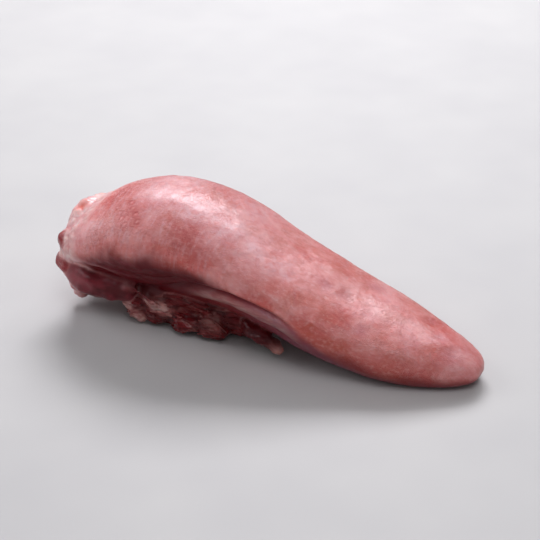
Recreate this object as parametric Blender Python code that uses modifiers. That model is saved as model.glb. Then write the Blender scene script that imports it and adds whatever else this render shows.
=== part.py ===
"""A raw, trimmed lamb tongue lying on its underside, as one closed solid.

The tip points along +X and the back faces up along +Z. The cut root is at -X. The origin is
under the middle of the tongue, on the surface that it lies on. Sizes are in millimetres and are
turned to metres by MM.
"""

import math
import random

import bmesh
import bpy
from mathutils import Matrix, Vector, noise

MM = 0.001
NAME = "lamb_tongue"

# Driving sizes of the skinned body, without the meat that hangs from it
LENGTH = 120.6
WIDTH = 41.0
HEIGHT = 39.0

# Lines along the body, each a list of (share of the length from root to tip, value). A value is
# a share of HEIGHT in the first three and of WIDTH in HALF_WIDTH and SWAY.
BACK_LINE = ((0.00, 0.64), (0.06, 0.80), (0.15, 0.94), (0.26, 1.00), (0.38, 0.91), (0.55, 0.66),
             (0.72, 0.465), (0.86, 0.34), (0.95, 0.24), (1.00, 0.15))
SIDE_LINE = ((0.00, 0.44), (0.15, 0.60), (0.30, 0.66), (0.45, 0.59), (0.60, 0.40), (0.75, 0.25),
             (0.88, 0.17), (1.00, 0.10))
MARGIN_LINE = ((0.00, 0.34), (0.08, 0.31), (0.18, 0.24), (0.30, 0.28), (0.45, 0.22), (0.60, 0.09),
               (0.72, 0.00), (0.80, -0.03), (0.90, -0.02), (0.96, 0.01), (1.00, 0.06))
HALF_WIDTH = ((0.00, 0.32), (0.07, 0.42), (0.22, 0.50), (0.45, 0.46), (0.65, 0.43), (0.78, 0.37),
              (0.88, 0.285), (0.95, 0.19), (1.00, 0.09))
# How far the lower side is drawn in under the back, as a share of the half-width
TUCK = ((0.00, 0.60), (0.08, 0.56), (0.18, 0.30), (0.30, 0.44), (0.45, 0.42), (0.60, 0.22), (0.72, 0.10),
        (1.00, 0.10))
SWAY = ((0.00, 0.00), (0.35, 0.03), (0.70, 0.00), (1.00, 0.00))
STATIONS = (0.0, 0.05, 0.13, 0.22, 0.32, 0.42, 0.52, 0.62, 0.72, 0.82, 0.905, 0.965, 1.0)

# The muscle left under the body, on which the rear half lies. Its lines are sizes in mm by the
# share of its length from the root.
MUSCLE_REAR = -57.0
MUSCLE_FRONT = -1.0
MUSCLE_HALF_WIDTH = ((0.00, 7.0), (0.22, 7.5), (0.33, 9.8), (0.50, 11.5), (0.74, 11.0), (0.89, 9.0),
                     (1.00, 4.5))
MUSCLE_FLOOR = ((0.00, 6.4), (0.24, 5.0), (0.33, 0.6), (0.40, -3.0), (0.86, -3.0), (0.95, 0.5), (1.00, 4.0))
MUSCLE_ROOF = ((0.00, 13.0), (0.55, 18.0), (1.00, 13.0))
MUSCLE_STATIONS = 14
MUSCLE_SIDES = 12

# Soft limbs fused to the body: (x, y, z, half-size across, half-size in thickness) at each bend.
# The near side is -Y.
LIMB_SIDES = 6
ROOT_LOBE = ((-57.5, -9.0, 12.4, 5.4, 4.6), (-53.5, -10.8, 12.4, 7.0, 6.0), (-48.0, -11.8, 11.2, 6.8, 5.8),
             (-42.0, -11.8, 10.4, 5.2, 4.6), (-35.0, -11.2, 11.0, 2.6, 2.4))
FAT_COLLAR = ((-56.8, -7.8, 4.6, 2.5, 2.5), (-56.6, -10.6, 8.2, 2.0, 2.0), (-56.6, -12.2, 13.0, 2.3, 2.0),
              (-57.0, -12.0, 18.4, 2.8, 2.2), (-57.0, -9.6, 24.0, 3.0, 2.4), (-56.2, -4.4, 27.6, 3.3, 2.7),
              (-55.6, 1.6, 28.2, 3.0, 2.6), (-56.0, 7.2, 26.4, 2.6, 2.2), (-56.8, 10.8, 21.4, 2.8, 2.2),
              (-57.0, 12.2, 15.6, 2.4, 2.0), (-56.8, 11.0, 9.6, 2.2, 2.0), (-56.6, 8.0, 5.4, 2.3, 2.3))
PALE_STRIP = ((-43.0, -7.4, 10.4, 1.8, 2.0), (-39.5, -9.8, 5.8, 2.4, 2.0), (-36.5, -10.6, 3.0, 2.4, 1.8),
              (-34.0, -10.4, 0.9, 1.8, 1.4))
MEMBRANE = ((-40.5, -11.4, 13.4, 1.6, 1.0), (-35.5, -12.6, 11.2, 2.6, 1.0), (-30.0, -12.8, 8.8, 2.8, 1.1),
            (-25.5, -12.2, 6.6, 1.6, 1.0))
FRONT_STRAND = ((-7.0, -7.0, 7.0, 3.2, 3.4), (-1.0, -9.4, 6.6, 2.8, 3.0), (4.0, -11.4, 5.4, 2.2, 2.6),
                (7.6, -12.2, 3.9, 1.6, 1.8), (9.2, -12.4, 2.4, 1.0, 1.0))
# How far forward the strip, the membrane and the strand of the far side lie
FAR_SHIFT = {"strip": 5.0, "membrane": -2.0, "strand": -5.0}

# Lumps of cut muscle and fat at the root: (x, y, z, radius)
ROOT_LUMPS = ((-57.4, -10.4, 20.8, 3.4), (-57.8, -10.6, 15.2, 3.8), (-57.0, -8.2, 4.8, 2.4),
              (-56.8, 10.4, 18.0, 3.6), (-57.0, 7.6, 5.2, 2.6))
# Bundles over the rest of the cut face: rows from the top down, (z, half-width of the row, count)
FACE_ROWS = ((22.0, 4.0, 2), (16.0, 6.5, 3), (10.0, 5.5, 3))
FACE_X = -56.0
FACE_LUMP_RADIUS = 4.4
# Bundles along each side of the muscle: (first x, last x, count, radius)
SIDE_BUNDLES = (-36.0, -6.0, 5, 3.6)
SEED = 14
# Points closer than this are made one where forms cross
SLIVER = 0.04
# Points this close to the floor's plane count as on it
ON_PLANE = 0.0001

# Uneven relief: (depth, grain) of the noise that pushes each kind of surface in and out
BODY_RELIEF = (0.6, 16.0)
MUSCLE_RELIEF = (2.4, 4.5)
LUMP_RELIEF = (1.2, 3.0)
LIMB_RELIEF = (1.0, 4.0)


def along(line, share):
    """The line's value at a share of the length, on a smooth curve through its points."""
    places = [p[0] for p in line]
    values = [p[1] for p in line]
    steps = [b - a for a, b in zip(places, places[1:])]
    rises = [(b - a) / s for a, b, s in zip(values, values[1:], steps)]
    slopes = [rises[0]]
    for before, after in zip(rises, rises[1:]):
        product = before * after
        slopes.append(2.0 * product / (before + after) if product > 0.0 else 0.0)
    slopes.append(rises[-1])
    i = max(k for k in range(len(steps)) if places[k] <= share or k == 0)
    u = (share - places[i]) / steps[i]
    return (
        (2 * u**3 - 3 * u**2 + 1) * values[i]
        + (u**3 - 2 * u**2 + u) * steps[i] * slopes[i]
        + (3 * u**2 - 2 * u**3) * values[i + 1]
        + (u**3 - u**2) * steps[i] * slopes[i + 1]
    )


def body_section(share):
    """One ring of the body's cage, in mm, from the top round the far side and back."""
    x = (share - 0.5) * LENGTH
    top = along(BACK_LINE, share) * HEIGHT
    side = along(SIDE_LINE, share) * HEIGHT
    margin = along(MARGIN_LINE, share) * HEIGHT
    half = along(HALF_WIDTH, share) * WIDTH
    tuck = along(TUCK, share)
    sway = along(SWAY, share) * WIDTH
    dome = top - side
    roll = side - margin
    half_ring = (
        (0.00, top),
        (0.52, top - 0.07 * dome),
        (0.95, top - 0.48 * dome),
        (1.08 - 0.04 * tuck, side - 0.10 * roll),
        (0.97 - 0.52 * tuck, side - 0.70 * roll),
        (0.58 - 0.42 * tuck, margin),
        (0.00, margin),
    )
    far = [(y * half, z) for y, z in half_ring]
    near = [(-y, z) for y, z in far[-2:0:-1]]
    return [Vector((x, y + sway, z)) for y, z in far + near]


def muscle_section(share):
    """One ring of the muscle's cage, in mm: a rounded box that stands on the floor line."""
    x = MUSCLE_REAR + share * (MUSCLE_FRONT - MUSCLE_REAR)
    half = along(MUSCLE_HALF_WIDTH, share)
    floor = along(MUSCLE_FLOOR, share)
    roof = along(MUSCLE_ROOF, share)
    middle = 0.5 * (floor + roof)
    ring = []
    for k in range(MUSCLE_SIDES):
        turn = Matrix.Rotation(math.tau * k / MUSCLE_SIDES, 2) @ Vector((0.0, 1.0))
        square = 1.0 / max(abs(turn.x), abs(turn.y)) ** 0.5
        ring.append(Vector((x, turn.x * square * half, middle + turn.y * square * (roof - middle))))
    return ring


def limb_sections(path):
    """Rings round a path of (x, y, z, across, thick), each square to the path where it lies."""
    centres = [Vector(p[:3]) for p in path]
    rings = []
    for i, (x, y, z, across, thick) in enumerate(path):
        ahead = (centres[min(i + 1, len(path) - 1)] - centres[max(i - 1, 0)]).normalized()
        out = Vector((0.0, y, z - 0.5 * HEIGHT)).normalized()
        wide = ahead.cross(out).normalized()
        deep = wide.cross(ahead)
        ring = []
        for k in range(LIMB_SIDES):
            turn = Matrix.Rotation(math.tau * k / LIMB_SIDES, 2) @ Vector((1.0, 0.0))
            ring.append(centres[i] + wide * turn.x * across + deep * turn.y * thick)
        rings.append(ring)
    return rings


def mirrored(path, forward=0.0):
    """The same limb on the far side, moved along X."""
    return tuple((x + forward, -y, z, across, thick) for x, y, z, across, thick in path)


def soft_form(name, rings, levels):
    """A closed form from a cage of like rings with flat ends, rounded by subdivision."""
    mesh = bpy.data.meshes.new(name)
    cage = bmesh.new()
    rows = [[cage.verts.new(point * MM) for point in ring] for ring in rings]
    count = len(rows[0])
    for low, high in zip(rows, rows[1:]):
        for i in range(count):
            j = (i + 1) % count
            cage.faces.new((low[i], low[j], high[j], high[i]))
    cage.faces.new(rows[0][::-1])
    cage.faces.new(rows[-1])
    bmesh.ops.recalc_face_normals(cage, faces=cage.faces[:])
    cage.to_mesh(mesh)
    cage.free()
    form = bpy.data.objects.new(name, mesh)
    smooth = form.modifiers.new("soft form", "SUBSURF")
    smooth.levels = smooth.render_levels = levels
    return form


def lump(name, centre, radii):
    """A small rounded lump, its radii given along X, Y and Z."""
    mesh = bpy.data.meshes.new(name)
    ball = bmesh.new()
    size = Matrix.Diagonal(Vector(radii) * MM).to_4x4()
    bmesh.ops.create_icosphere(ball, subdivisions=2, radius=1.0, matrix=size)
    bmesh.ops.translate(ball, verts=ball.verts[:], vec=Vector(centre) * MM)
    ball.to_mesh(mesh)
    ball.free()
    return bpy.data.objects.new(name, mesh)


def roughened(form, relief):
    """The form with its modifiers applied and its surface pushed in and out by smooth noise."""
    depth, grain = relief
    bpy.context.scene.collection.objects.link(form)
    evaluated = form.evaluated_get(bpy.context.evaluated_depsgraph_get())
    mesh = bpy.data.meshes.new_from_object(evaluated)
    bpy.context.scene.collection.objects.unlink(form)
    rough = bmesh.new()
    rough.from_mesh(mesh)
    rough.normal_update()
    pushes = [vert.normal * depth * MM * noise.noise(vert.co / (grain * MM)) for vert in rough.verts]
    for vert, push in zip(rough.verts, pushes):
        vert.co += push
    rough.to_mesh(mesh)
    rough.free()
    form.modifiers.clear()
    form.data = mesh
    return form


def meat_forms():
    """Everything that is fused to the body, as separate closed forms that cross it."""
    draw = random.Random(SEED)
    shares = [i / (MUSCLE_STATIONS - 1) for i in range(MUSCLE_STATIONS)]
    muscle = soft_form("muscle", [muscle_section(share) for share in shares], 1)
    limbs = {
        "lobe near": ROOT_LOBE,
        "lobe far": mirrored(ROOT_LOBE),
        "collar": FAT_COLLAR,
        "strip near": PALE_STRIP,
        "strip far": mirrored(PALE_STRIP, FAR_SHIFT["strip"]),
        "membrane near": MEMBRANE,
        "membrane far": mirrored(MEMBRANE, FAR_SHIFT["membrane"]),
        "strand near": FRONT_STRAND,
        "strand far": mirrored(FRONT_STRAND, FAR_SHIFT["strand"]),
    }
    limb_forms = [soft_form(name, limb_sections(path), 1) for name, path in limbs.items()]
    lumps = [lump("root lump", (x, y, z), (0.9 * r, r, r)) for x, y, z, r in ROOT_LUMPS]
    for z, half_row, count in FACE_ROWS:
        for k in range(count):
            y = half_row * (2.0 * k / (count - 1) - 1.0) + draw.uniform(-0.8, 0.8)
            radii = [FACE_LUMP_RADIUS * draw.uniform(0.85, 1.15) for _ in range(3)]
            lumps.append(lump("face lump", (FACE_X, y, z + draw.uniform(-0.8, 0.8)), radii))
    first, last, count, radius = SIDE_BUNDLES
    for side in (-1, 1):
        for k in range(count):
            x = first + (last - first) * k / (count - 1)
            share = (x - MUSCLE_REAR) / (MUSCLE_FRONT - MUSCLE_REAR)
            y = side * (along(MUSCLE_HALF_WIDTH, share) - 2.0 + draw.uniform(-0.5, 0.7))
            centre = (x, y, draw.uniform(3.4, 6.0))
            radii = [radius * draw.uniform(1.2, 1.9), radius, radius * draw.uniform(0.8, 1.2)]
            lumps.append(lump("side bundle", centre, radii))
    return (
        [roughened(muscle, MUSCLE_RELIEF)]
        + [roughened(form, LIMB_RELIEF) for form in limb_forms]
        + [roughened(form, LUMP_RELIEF) for form in lumps]
    )


def fuse(body, forms):
    """The body joined with the forms in one Boolean union, which is applied."""
    meat = bpy.data.collections.new("meat")
    bpy.context.scene.collection.children.link(meat)
    for form in forms:
        meat.objects.link(form)
    union = body.modifiers.new("fused meat", "BOOLEAN")
    union.operand_type = "COLLECTION"
    union.collection = meat
    union.operation = "UNION"
    union.solver = "MANIFOLD"
    evaluated = body.evaluated_get(bpy.context.evaluated_depsgraph_get())
    fused = bpy.data.meshes.new_from_object(evaluated)
    body.modifiers.clear()
    body.data = fused
    for form in forms:
        bpy.data.objects.remove(form, do_unlink=True)
    bpy.data.collections.remove(meat)


def shells(solid):
    """The mesh's faces in groups joined edge to edge, the largest group first."""
    unseen = set(solid.faces)
    groups = []
    while unseen:
        waiting = [unseen.pop()]
        group = []
        while waiting:
            face = waiting.pop()
            group.append(face)
            for edge in face.edges:
                for beside in edge.link_faces:
                    if beside in unseen:
                        unseen.remove(beside)
                        waiting.append(beside)
        groups.append(group)
    return sorted(groups, key=len, reverse=True)


def rest_on_floor(body):
    """What reaches below z = 0 is pressed flat there, and the origin goes under the middle.

    Loose scraps and pockets that the fusing sealed are left out, as all but the largest shell.
    """
    solid = bmesh.new()
    solid.from_mesh(body.data)
    geometry = solid.verts[:] + solid.edges[:] + solid.faces[:]
    down = Vector((0.0, 0.0, -1.0))
    bmesh.ops.bisect_plane(
        solid, geom=geometry, dist=ON_PLANE * MM, plane_co=(0.0, 0.0, 0.0), plane_no=down, clear_outer=True
    )
    bmesh.ops.holes_fill(solid, edges=[e for e in solid.edges if e.is_boundary])
    for group in shells(solid)[1:]:
        bmesh.ops.delete(solid, geom=group, context="FACES")
    bmesh.ops.remove_doubles(solid, verts=solid.verts[:], dist=SLIVER * MM)
    xs = [v.co.x for v in solid.verts]
    ys = [v.co.y for v in solid.verts]
    middle = Vector((max(xs) + min(xs), max(ys) + min(ys), 0.0)) * 0.5
    bmesh.ops.translate(solid, verts=solid.verts[:], vec=-middle)
    bmesh.ops.recalc_face_normals(solid, faces=solid.faces[:])
    solid.to_mesh(body.data)
    solid.free()


def raw_meat():
    """Pale pink skin over meat, moist and half glossy."""
    material = bpy.data.materials.new("raw tongue")
    material.use_nodes = True
    shader = material.node_tree.nodes["Principled BSDF"]
    shader.inputs["Base Color"].default_value = (0.56, 0.26, 0.26, 1.0)
    shader.inputs["Roughness"].default_value = 0.38
    shader.inputs["Metallic"].default_value = 0.0
    return material


def main():
    for old in list(bpy.data.objects):
        bpy.data.objects.remove(old, do_unlink=True)
    kept = bpy.data.collections.new("lamb tongue")
    bpy.context.scene.collection.children.link(kept)
    body = roughened(soft_form(NAME, [body_section(share) for share in STATIONS], 2), BODY_RELIEF)
    kept.objects.link(body)
    fuse(body, meat_forms())
    rest_on_floor(body)
    body.data.materials.clear()
    body.data.materials.append(raw_meat())
    body.data.shade_smooth()


main()
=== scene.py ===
import math
import random

import bmesh
import bpy
import numpy as np
from mathutils import Matrix, Vector, noise
from mathutils.bvhtree import BVHTree


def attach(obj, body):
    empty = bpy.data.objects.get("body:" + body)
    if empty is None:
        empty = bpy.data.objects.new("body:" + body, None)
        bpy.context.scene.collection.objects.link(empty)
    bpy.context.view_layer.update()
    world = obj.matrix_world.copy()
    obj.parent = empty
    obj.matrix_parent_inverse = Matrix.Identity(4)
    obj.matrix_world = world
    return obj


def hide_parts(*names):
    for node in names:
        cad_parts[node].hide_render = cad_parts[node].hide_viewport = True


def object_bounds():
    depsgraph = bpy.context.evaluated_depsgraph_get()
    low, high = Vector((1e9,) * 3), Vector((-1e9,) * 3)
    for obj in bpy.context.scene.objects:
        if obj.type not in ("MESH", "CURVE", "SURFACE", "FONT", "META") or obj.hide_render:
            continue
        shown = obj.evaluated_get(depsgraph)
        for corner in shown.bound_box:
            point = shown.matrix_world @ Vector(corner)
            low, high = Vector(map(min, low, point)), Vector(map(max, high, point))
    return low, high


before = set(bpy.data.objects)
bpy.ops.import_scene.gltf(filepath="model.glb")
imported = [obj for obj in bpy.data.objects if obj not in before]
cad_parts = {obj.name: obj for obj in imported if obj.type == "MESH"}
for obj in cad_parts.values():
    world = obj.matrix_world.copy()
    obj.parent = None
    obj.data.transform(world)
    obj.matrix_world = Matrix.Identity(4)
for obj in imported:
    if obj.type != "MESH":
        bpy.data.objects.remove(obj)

cad_low, cad_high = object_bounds()

# The skinned body. A lamb's tongue is one muscle in a tight, rough skin, humped over its root and
# thin and round at its tip. It is cut from the jaw, trimmed and laid on its underside. Its
# shapes are worked out in millimetres and become metres when the surface is finished.
MM = 0.001
LENGTH = 120.6
WIDTH = 41.0
HEIGHT = 39.0
# Lines along the body: (share of the length from root to tip, share of the height or the width)
BACK_LINE = ((0.00, 0.64), (0.06, 0.80), (0.15, 0.94), (0.26, 1.00), (0.38, 0.91), (0.55, 0.66),
             (0.72, 0.465), (0.86, 0.34), (0.95, 0.24), (1.00, 0.15))
SIDE_LINE = ((0.00, 0.44), (0.15, 0.60), (0.30, 0.66), (0.45, 0.59), (0.60, 0.40), (0.75, 0.25),
             (0.88, 0.17), (1.00, 0.10))
MARGIN_LINE = ((0.00, 0.34), (0.08, 0.31), (0.18, 0.24), (0.30, 0.28), (0.45, 0.22), (0.60, 0.09),
               (0.72, 0.00), (0.80, -0.03), (0.90, -0.02), (0.96, 0.01), (1.00, 0.06))
HALF_WIDTH = ((0.00, 0.32), (0.07, 0.42), (0.22, 0.50), (0.45, 0.46), (0.65, 0.43), (0.78, 0.37),
              (0.88, 0.285), (0.95, 0.19), (1.00, 0.09))
TUCK = ((0.00, 0.60), (0.08, 0.56), (0.18, 0.30), (0.30, 0.44), (0.45, 0.42), (0.60, 0.22),
        (0.72, 0.10), (1.00, 0.10))
SWAY = ((0.00, 0.00), (0.35, 0.03), (0.70, 0.00), (1.00, 0.00))
STATIONS = (0.0, 0.05, 0.13, 0.22, 0.32, 0.42, 0.52, 0.62, 0.72, 0.82, 0.905, 0.965, 1.0)
# Half of a ring of the body, from the top down: (share of the half-width, how much of that the tuck
# takes off, share of the way from the top to the side, and from the side to the margin)
HALF_RING = ((0.00, 0.00, 0.00, 0.00), (0.52, 0.00, 0.07, 0.00), (0.95, 0.00, 0.48, 0.00),
             (1.08, 0.04, 1.00, 0.10), (0.97, 0.52, 1.00, 0.70), (0.58, 0.42, 1.00, 1.00),
             (0.00, 0.00, 1.00, 1.00))
BODY_LEVELS = 4
# The relief of a form: (its depth, the size of its lumps)
BODY_RELIEF = (0.6, 16.0)


def along(line, share):
    """The line's value at a share of the length, on a smooth curve through its points."""
    places = [p[0] for p in line]
    values = [p[1] for p in line]
    steps = [b - a for a, b in zip(places, places[1:])]
    rises = [(b - a) / s for a, b, s in zip(values, values[1:], steps)]
    slopes = [rises[0]]
    for before, after in zip(rises, rises[1:]):
        product = before * after
        slopes.append(2.0 * product / (before + after) if product > 0.0 else 0.0)
    slopes.append(rises[-1])
    i = max(k for k in range(len(steps)) if places[k] <= share or k == 0)
    u = (share - places[i]) / steps[i]
    return (
        (2 * u**3 - 3 * u**2 + 1) * values[i]
        + (u**3 - 2 * u**2 + u) * steps[i] * slopes[i]
        + (3 * u**2 - 2 * u**3) * values[i + 1]
        + (u**3 - u**2) * steps[i] * slopes[i + 1]
    )


def body_section(share):
    """One ring of the body's cage, from the top round the far side and back."""
    x = (share - 0.5) * LENGTH
    top = along(BACK_LINE, share) * HEIGHT
    side = along(SIDE_LINE, share) * HEIGHT
    margin = along(MARGIN_LINE, share) * HEIGHT
    half = along(HALF_WIDTH, share) * WIDTH
    tuck = along(TUCK, share)
    sway = along(SWAY, share) * WIDTH
    dome = top - side
    roll = side - margin
    far = [
        ((out - taken * tuck) * half, top - down * dome - under * roll)
        for out, taken, down, under in HALF_RING
    ]
    near = [(-y, z) for y, z in far[-2:0:-1]]
    return [Vector((x, y + sway, z)) for y, z in far + near]


def applied(holder):
    """The object's mesh with its modifiers applied. The object itself is removed."""
    bpy.context.scene.collection.objects.link(holder)
    evaluated = holder.evaluated_get(bpy.context.evaluated_depsgraph_get())
    mesh = bpy.data.meshes.new_from_object(evaluated)
    bpy.data.objects.remove(holder, do_unlink=True)
    return mesh


def soft_form(rings, levels):
    """A closed form from a cage of like rings with flat ends, rounded by subdivision."""
    mesh = bpy.data.meshes.new("cage")
    cage = bmesh.new()
    rows = [[cage.verts.new(point) for point in ring] for ring in rings]
    count = len(rows[0])
    for low, high in zip(rows, rows[1:]):
        for i in range(count):
            j = (i + 1) % count
            cage.faces.new((low[i], low[j], high[j], high[i]))
    cage.faces.new(rows[0][::-1])
    cage.faces.new(rows[-1])
    bmesh.ops.recalc_face_normals(cage, faces=cage.faces[:])
    cage.to_mesh(mesh)
    cage.free()
    holder = bpy.data.objects.new("cage", mesh)
    smooth = holder.modifiers.new("soft form", "SUBSURF")
    smooth.levels = smooth.render_levels = levels
    return applied(holder)


def array_of(mesh, what):
    """The coordinates or the normals of a mesh's points, one row each."""
    rows = np.empty(len(mesh.vertices) * 3, np.float32)
    mesh.vertices.foreach_get(what, rows)
    return rows.reshape(-1, 3).astype(float)


def noise_at(places, grain, shift=0.0):
    """Smooth noise at each place, its lumps as large as the grain, which may differ by axis."""
    return np.array([noise.noise(p) for p in (places / np.array(grain) + shift).tolist()])


def roughened(mesh, relief):
    """The mesh with its surface pushed in and out by smooth noise."""
    depth, grain = relief
    points = array_of(mesh, "co")
    points += array_of(mesh, "normal") * (depth * noise_at(points, grain))[:, None]
    mesh.vertices.foreach_set("co", points.astype(np.float32).ravel())
    mesh.update()
    return mesh


body_rings = [body_section(share) for share in STATIONS]
body_forms = [roughened(soft_form(body_rings, BODY_LEVELS), BODY_RELIEF)]

# The muscle under the body. It held the tongue to the floor of the mouth, and the knife left it
# ragged, in long bundles that hang from the underside and that the rear half lies on.
MUSCLE_REAR = -57.0
MUSCLE_FRONT = -1.0
# Lines along the muscle: (share of its length from the root, size or height)
MUSCLE_HALF_WIDTH = ((0.00, 7.0), (0.22, 7.5), (0.33, 9.8), (0.50, 11.5), (0.74, 11.0), (0.89, 9.0),
                     (1.00, 4.5))
MUSCLE_FLOOR = ((0.00, 6.4), (0.24, 5.0), (0.33, 0.6), (0.40, -3.0), (0.86, -3.0), (0.95, 0.5),
                (1.00, 4.0))
MUSCLE_ROOF = ((0.00, 13.0), (0.55, 18.0), (1.00, 13.0))
MUSCLE_STATIONS = 14
MUSCLE_SIDES = 12
MUSCLE_LEVELS = 3
MUSCLE_RELIEF = (2.4, 4.5)
# Lumps of cut muscle at the root, and one of fat: (x, y, z, radius)
ROOT_LUMPS = ((-57.4, -10.4, 20.8, 3.4), (-57.8, -10.6, 15.2, 3.8), (-56.8, 10.4, 18.0, 3.6),
              (-57.0, 7.6, 5.2, 2.6))
FAT_LUMP = (-57.0, -8.2, 4.8, 2.4)
LUMP_FLATNESS = 0.9
# Rows of bundles over the rest of the cut face from the top down: (z, half-width of the row, count)
FACE_ROWS = ((22.0, 4.0, 2), (16.0, 6.5, 3), (10.0, 5.5, 3))
FACE_X = -56.0
FACE_SCATTER = 0.8
FACE_LUMP_RADIUS = 4.4
FACE_LUMP_SIZES = (0.85, 1.15)
# Bundles along each side of the muscle: (first x, last x, count, radius), the ranges of their
# heights and of their shift from a line inside its edge, and their length and height in radii
SIDE_BUNDLES = (-36.0, -6.0, 5, 3.6)
BUNDLE_INSET = 2.0
BUNDLE_SHIFTS = (-0.5, 0.7)
BUNDLE_PLACES = (3.4, 6.0)
BUNDLE_LENGTHS = (1.2, 1.9)
BUNDLE_HEIGHTS = (0.8, 1.2)
LUMP_ROUNDNESS = 4
LUMP_RELIEF = (1.2, 3.0)
SEED = 14


def muscle_section(share):
    """One ring of the muscle's cage: a rounded box that stands on the floor line."""
    x = MUSCLE_REAR + share * (MUSCLE_FRONT - MUSCLE_REAR)
    half = along(MUSCLE_HALF_WIDTH, share)
    floor = along(MUSCLE_FLOOR, share)
    roof = along(MUSCLE_ROOF, share)
    middle = 0.5 * (floor + roof)
    ring = []
    for k in range(MUSCLE_SIDES):
        turn = Matrix.Rotation(math.tau * k / MUSCLE_SIDES, 2) @ Vector((0.0, 1.0))
        square = 1.0 / max(abs(turn.x), abs(turn.y)) ** 0.5
        ring.append(Vector((x, turn.x * square * half, middle + turn.y * square * (roof - middle))))
    return ring


def lump(centre, radii):
    """A small rounded lump with a rough surface, its radii given along X, Y and Z."""
    mesh = bpy.data.meshes.new("lump")
    ball = bmesh.new()
    size = Matrix.Diagonal(Vector(radii)).to_4x4()
    bmesh.ops.create_icosphere(ball, subdivisions=LUMP_ROUNDNESS, radius=1.0, matrix=size)
    bmesh.ops.translate(ball, verts=ball.verts[:], vec=Vector(centre))
    ball.to_mesh(mesh)
    ball.free()
    return roughened(mesh, LUMP_RELIEF)


def root_lump(centre_x, centre_y, centre_z, radius):
    """A lump at the root, a little flattened along X."""
    return lump((centre_x, centre_y, centre_z), (LUMP_FLATNESS * radius, radius, radius))


draw = random.Random(SEED)
muscle_rings = [muscle_section(i / (MUSCLE_STATIONS - 1)) for i in range(MUSCLE_STATIONS)]
muscle_forms = [roughened(soft_form(muscle_rings, MUSCLE_LEVELS), MUSCLE_RELIEF)]
muscle_forms += [root_lump(*place) for place in ROOT_LUMPS]
fat_forms = [root_lump(*FAT_LUMP)]
for z, half_row, count in FACE_ROWS:
    for k in range(count):
        y = half_row * (2.0 * k / (count - 1) - 1.0) + draw.uniform(-FACE_SCATTER, FACE_SCATTER)
        radii = [FACE_LUMP_RADIUS * draw.uniform(*FACE_LUMP_SIZES) for _ in range(3)]
        muscle_forms.append(lump((FACE_X, y, z + draw.uniform(-FACE_SCATTER, FACE_SCATTER)), radii))
first, last, count, radius = SIDE_BUNDLES
for side in (-1, 1):
    for k in range(count):
        x = first + (last - first) * k / (count - 1)
        share = (x - MUSCLE_REAR) / (MUSCLE_FRONT - MUSCLE_REAR)
        y = side * (along(MUSCLE_HALF_WIDTH, share) - BUNDLE_INSET + draw.uniform(*BUNDLE_SHIFTS))
        centre = (x, y, draw.uniform(*BUNDLE_PLACES))
        long = radius * draw.uniform(*BUNDLE_LENGTHS)
        muscle_forms.append(lump(centre, (long, radius, radius * draw.uniform(*BUNDLE_HEIGHTS))))

# Limbs at the root and under the sides: a smooth lobe of covered muscle low on each side, a
# collar of pale fat round the cut, and strips and films of connective tissue that the knife left
# hanging over the muscle. Each follows a path of (x, y, z, half-size across, half-size in depth).
LIMB_SIDES = 6
LIMB_LEVELS = 3
LIMB_RELIEF = (1.0, 4.0)
ROOT_LOBE = ((-57.5, -9.0, 12.4, 5.4, 4.6), (-53.5, -10.8, 12.4, 7.0, 6.0), (-48.0, -11.8, 11.2, 6.8, 5.8),
             (-42.0, -11.8, 10.4, 5.2, 4.6), (-35.0, -11.2, 11.0, 2.6, 2.4))
FAT_COLLAR = ((-56.8, -7.8, 4.6, 2.5, 2.5), (-56.6, -10.6, 8.2, 2.0, 2.0), (-56.6, -12.2, 13.0, 2.3, 2.0),
              (-57.0, -12.0, 18.4, 2.8, 2.2), (-57.0, -9.6, 24.0, 3.0, 2.4), (-56.2, -4.4, 27.6, 3.3, 2.7),
              (-55.6, 1.6, 28.2, 3.0, 2.6), (-56.0, 7.2, 26.4, 2.6, 2.2), (-56.8, 10.8, 21.4, 2.8, 2.2),
              (-57.0, 12.2, 15.6, 2.4, 2.0), (-56.8, 11.0, 9.6, 2.2, 2.0), (-56.6, 8.0, 5.4, 2.3, 2.3))
PALE_STRIP = ((-43.0, -7.4, 10.4, 1.8, 2.0), (-39.5, -9.8, 5.8, 2.4, 2.0), (-36.5, -10.6, 3.0, 2.4, 1.8),
              (-34.0, -10.4, 0.9, 1.8, 1.4))
MEMBRANE = ((-40.5, -11.4, 13.4, 1.6, 1.0), (-35.5, -12.6, 11.2, 2.6, 1.0), (-30.0, -12.8, 8.8, 2.8, 1.1),
            (-25.5, -12.2, 6.6, 1.6, 1.0))
FRONT_STRAND = ((-7.0, -7.0, 7.0, 3.2, 3.4), (-1.0, -9.4, 6.6, 2.8, 3.0), (4.0, -11.4, 5.4, 2.2, 2.6),
                (7.6, -12.2, 3.9, 1.6, 1.8), (9.2, -12.4, 2.4, 1.0, 1.0))
# How far forward the strip, the membrane and the strand of the far side lie
FAR_SHIFT = {"strip": 5.0, "membrane": -2.0, "strand": -5.0}


def limb(path):
    """A soft limb: rings round its path, each square to the path where it lies."""
    centres = [Vector(p[:3]) for p in path]
    rings = []
    for i, (x, y, z, across, thick) in enumerate(path):
        ahead = (centres[min(i + 1, len(path) - 1)] - centres[max(i - 1, 0)]).normalized()
        out = Vector((0.0, y, z - 0.5 * HEIGHT)).normalized()
        wide = ahead.cross(out).normalized()
        deep = wide.cross(ahead)
        ring = []
        for k in range(LIMB_SIDES):
            turn = Matrix.Rotation(math.tau * k / LIMB_SIDES, 2) @ Vector((1.0, 0.0))
            ring.append(centres[i] + wide * turn.x * across + deep * turn.y * thick)
        rings.append(ring)
    return roughened(soft_form(rings, LIMB_LEVELS), LIMB_RELIEF)


def mirrored(path, forward=0.0):
    """The same limb on the far side, moved along X."""
    return tuple((x + forward, -y, z, across, thick) for x, y, z, across, thick in path)


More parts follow.
